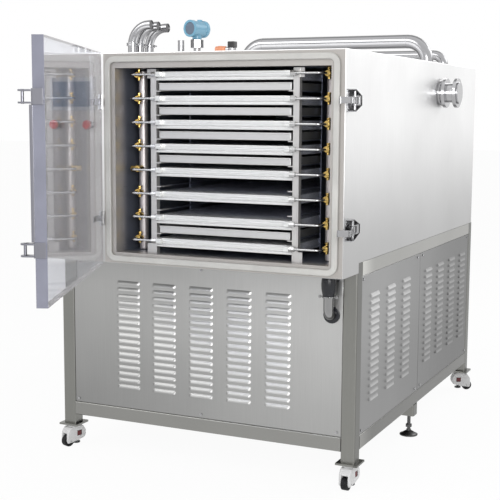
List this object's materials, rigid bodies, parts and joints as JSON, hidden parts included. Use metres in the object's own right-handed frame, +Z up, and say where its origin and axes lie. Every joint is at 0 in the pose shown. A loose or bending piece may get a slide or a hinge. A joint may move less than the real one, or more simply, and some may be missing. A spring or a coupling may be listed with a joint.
{
  "type": "freeze dryer",
  "caption": "Floor-standing vacuum freeze dryer: clear hinged door, rack of heated shelves with trays, louvred steel base on levelling casters, roof pipework and side latches.",
  "frame": {"origin": "middle of the whole machine's footprint, door standing open, on the floor", "axes": "+X to the machine's right seen from the front, +Y from the door to the back, +Z up"},
  "size_m": [1.483, 3.0495, 1.864],
  "materials": {
    "frame_steel": "satin, brushed square tube",
    "panel_steel": "brushed sheet",
    "casing_steel": "brushed sheet",
    "chamber_steel": "satin",
    "gasket_silicone": "matte bluish white silicone",
    "shelf_aluminium": "satin",
    "fitting_brass": "plain",
    "screen_plastic": "dark screen in a grey bezel",
    "collar_plastic": "matte",
    "button_red": "gloss red",
    "door_acrylic": "clear cast acrylic",
    "pipe_steel": "polished",
    "drain_rubber": "matte black",
    "transmitter_enamel": "light blue enamel",
    "valve_enamel": "orange enamel, dark coil",
    "machine_enamel": "dark blue-green enamel",
    "coil_aluminium": "plain fins",
    "fan_plastic": "matte black",
    "caster_nylon": "off-white nylon",
    "wheel_rubber": "matte dark grey",
    "dial_red": "dark red",
    "pad_rubber": "matte black"
  },
  "bodies": {
    "cabinet": {"base_posts": "frame_steel", "base_rails": "frame_steel", "front_louvre_panel": "panel_steel", "right_front_louvre_panel": "panel_steel", "right_back_louvre_panel": "panel_steel", "left_side_panels": "panel_steel", "back_panel": "panel_steel", "panel_screws": "panel_steel", "outer_casing": "casing_steel", "vacuum_chamber": "chamber_steel", "door_gasket": "gasket_silicone", "shelf_rack": "chamber_steel", "shelves": "shelf_aluminium", "trays": "chamber_steel", "manifolds": "chamber_steel", "shelf_tubes": "chamber_steel", "tube_fittings": "fitting_brass", "control_panel": "casing_steel", "touch_screen": "screen_plastic", "button_collars": "collar_plastic", "latch_brackets": "casing_steel", "drain_elbow": "pipe_steel", "drain_rubbers": "drain_rubber", "roof_fittings": "pipe_steel", "pressure_transmitter": "transmitter_enamel", "air_valve": "valve_enamel", "roof_pipes": "pipe_steel", "side_port": "pipe_steel", "compressor": "machine_enamel", "vacuum_pump": "machine_enamel", "condenser": "coil_aluminium", "ice_condenser_plates": "chamber_steel"},
    "door": {"door_panel": "door_acrylic", "door_hinge_leaves": "casing_steel", "door_latch_bar": "casing_steel"},
    "latch_hook_lower": {"latch_hook_lower": "casing_steel"},
    "latch_lever_lower": {"latch_lever_lower": "casing_steel"},
    "latch_hook_upper": {"latch_hook_upper": "casing_steel"},
    "latch_lever_upper": {"latch_lever_upper": "casing_steel"},
    "stop_button_left": {"stop_button_left": "button_red"},
    "stop_button_right": {"stop_button_right": "button_red"},
    "caster_front_left": {"caster_front_left": "caster_nylon"},
    "caster_front_left_wheel": {"caster_front_left_wheel": "wheel_rubber"},
    "caster_front_left_dial": {"caster_front_left_dial": "dial_red"},
    "caster_front_left_pad": {"caster_front_left_pad": "pad_rubber"},
    "caster_front_right": {"caster_front_right": "caster_nylon"},
    "caster_front_right_wheel": {"caster_front_right_wheel": "wheel_rubber"},
    "caster_front_right_dial": {"caster_front_right_dial": "dial_red"},
    "caster_front_right_pad": {"caster_front_right_pad": "pad_rubber"},
    "caster_back_left": {"caster_back_left": "caster_nylon"},
    "caster_back_left_wheel": {"caster_back_left_wheel": "wheel_rubber"},
    "caster_back_left_dial": {"caster_back_left_dial": "dial_red"},
    "caster_back_left_pad": {"caster_back_left_pad": "pad_rubber"},
    "caster_back_right": {"caster_back_right": "caster_nylon"},
    "caster_back_right_wheel": {"caster_back_right_wheel": "wheel_rubber"},
    "caster_back_right_dial": {"caster_back_right_dial": "dial_red"},
    "caster_back_right_pad": {"caster_back_right_pad": "pad_rubber"},
    "levelling_foot_left": {"levelling_foot_left": "pipe_steel"},
    "levelling_foot_right": {"levelling_foot_right": "pipe_steel"},
    "condenser_fan": {"condenser_fan": "fan_plastic"}
  },
  "joints": [
    {"name": "door_hinge", "type": "hinge", "parent": "cabinet", "child": "door", "pos_m": [-0.397, -0.5363, 1.291], "axis": [0, 0, 1], "range_deg": [-73, 67]},
    {"name": "latch_hook_lower_swing", "type": "hinge", "parent": "cabinet", "child": "latch_hook_lower", "pos_m": [0.667, -0.451, 1.056], "axis": [0, 0, 1], "range_deg": [-15, 30]},
    {"name": "latch_lever_lower_throw", "type": "hinge", "parent": "cabinet", "child": "latch_lever_lower", "pos_m": [0.667, -0.451, 1.056], "axis": [0, 0, -1], "range_deg": [0, 80]},
    {"name": "latch_hook_upper_swing", "type": "hinge", "parent": "cabinet", "child": "latch_hook_upper", "pos_m": [0.667, -0.451, 1.534], "axis": [0, 0, 1], "range_deg": [-15, 30]},
    {"name": "latch_lever_upper_throw", "type": "hinge", "parent": "cabinet", "child": "latch_lever_upper", "pos_m": [0.667, -0.451, 1.534], "axis": [0, 0, -1], "range_deg": [0, 80]},
    {"name": "stop_button_left_push", "type": "slide", "parent": "cabinet", "child": "stop_button_left", "axis": [0, 1, 0], "range_m": [0, 0.005], "stiffness_N_per_m": 600},
    {"name": "stop_button_right_push", "type": "slide", "parent": "cabinet", "child": "stop_button_right", "axis": [0, 1, 0], "range_m": [0, 0.005], "stiffness_N_per_m": 600},
    {"name": "caster_front_left_swivel", "type": "hinge", "parent": "cabinet", "child": "caster_front_left", "pos_m": [-0.696, -0.295, 0.096], "axis": [0, 0, 1], "continuous": true},
    {"name": "caster_front_left_roll", "type": "hinge", "parent": "caster_front_left", "child": "caster_front_left_wheel", "pos_m": [-0.70763, -0.32695, 0.026], "axis": [0.9397, -0.342, 0], "continuous": true},
    {"name": "caster_front_left_dial_turn", "type": "hinge", "parent": "caster_front_left", "child": "caster_front_left_dial", "pos_m": [-0.6919, -0.28372, 0.057], "axis": [0, 0, 1], "range_deg": [0, 2160]},
    {"name": "caster_front_left_pad_lift", "type": "slide", "parent": "caster_front_left", "child": "caster_front_left_pad", "axis": [0, 0, -1], "range_m": [0, 0.012]},
    {"name": "caster_front_right_swivel", "type": "hinge", "parent": "cabinet", "child": "caster_front_right", "pos_m": [0.616, -0.295, 0.096], "axis": [0, 0, 1], "continuous": true},
    {"name": "caster_front_right_roll", "type": "hinge", "parent": "caster_front_right", "child": "caster_front_right_wheel", "pos_m": [0.61363, -0.32892, 0.026], "axis": [0.9976, -0.0698, 0], "continuous": true},
    {"name": "caster_front_right_dial_turn", "type": "hinge", "parent": "caster_front_right", "child": "caster_front_right_dial", "pos_m": [0.61684, -0.28303, 0.057], "axis": [0, 0, 1], "range_deg": [0, 2160]},
    {"name": "caster_front_right_pad_lift", "type": "slide", "parent": "caster_front_right", "child": "caster_front_right_pad", "axis": [0, 0, -1], "range_m": [0, 0.012]},
    {"name": "caster_back_left_swivel", "type": "hinge", "parent": "cabinet", "child": "caster_back_left", "pos_m": [-0.696, 1.465, 0.096], "axis": [0, 0, 1], "continuous": true},
    {"name": "caster_back_left_roll", "type": "hinge", "parent": "caster_back_left", "child": "caster_back_left_wheel", "pos_m": [-0.68437, 1.49695, 0.026], "axis": [-0.9397, 0.342, 0], "continuous": true},
    {"name": "caster_back_left_dial_turn", "type": "hinge", "parent": "caster_back_left", "child": "caster_back_left_dial", "pos_m": [-0.7001, 1.45372, 0.057], "axis": [0, 0, 1], "range_deg": [0, 2160]},
    {"name": "caster_back_left_pad_lift", "type": "slide", "parent": "caster_back_left", "child": "caster_back_left_pad", "axis": [0, 0, -1], "range_m": [0, 0.012]},
    {"name": "caster_back_right_swivel", "type": "hinge", "parent": "cabinet", "child": "caster_back_right", "pos_m": [0.616, 1.465, 0.096], "axis": [0, 0, 1], "continuous": true},
    {"name": "caster_back_right_roll", "type": "hinge", "parent": "caster_back_right", "child": "caster_back_right_wheel", "pos_m": [0.64681, 1.47937, 0.026], "axis": [-0.4226, 0.9063, 0], "continuous": true},
    {"name": "caster_back_right_dial_turn", "type": "hinge", "parent": "caster_back_right", "child": "caster_back_right_dial", "pos_m": [0.60512, 1.45993, 0.057], "axis": [0, 0, 1], "range_deg": [0, 2160]},
    {"name": "caster_back_right_pad_lift", "type": "slide", "parent": "caster_back_right", "child": "caster_back_right_pad", "axis": [0, 0, -1], "range_m": [0, 0.012]},
    {"name": "levelling_foot_left_screw", "type": "slide", "parent": "cabinet", "child": "levelling_foot_left", "axis": [0, 0, 1], "range_m": [-0.015, 0.015]},
    {"name": "levelling_foot_right_screw", "type": "slide", "parent": "cabinet", "child": "levelling_foot_right", "axis": [0, 0, 1], "range_m": [-0.015, 0.015]},
    {"name": "condenser_fan_spin", "type": "hinge", "parent": "cabinet", "child": "condenser_fan", "pos_m": [-0.08, 1.323, 0.49], "axis": [0, 1, 0], "continuous": true}
  ],
  "couplings": [
    {"joint": "caster_front_left_pad_lift", "follows": "caster_front_left_dial_turn", "m_per_rad": 0.000318},
    {"joint": "caster_front_right_pad_lift", "follows": "caster_front_right_dial_turn", "m_per_rad": 0.000318},
    {"joint": "caster_back_left_pad_lift", "follows": "caster_back_left_dial_turn", "m_per_rad": 0.000318},
    {"joint": "caster_back_right_pad_lift", "follows": "caster_back_right_dial_turn", "m_per_rad": 0.000318}
  ]
}
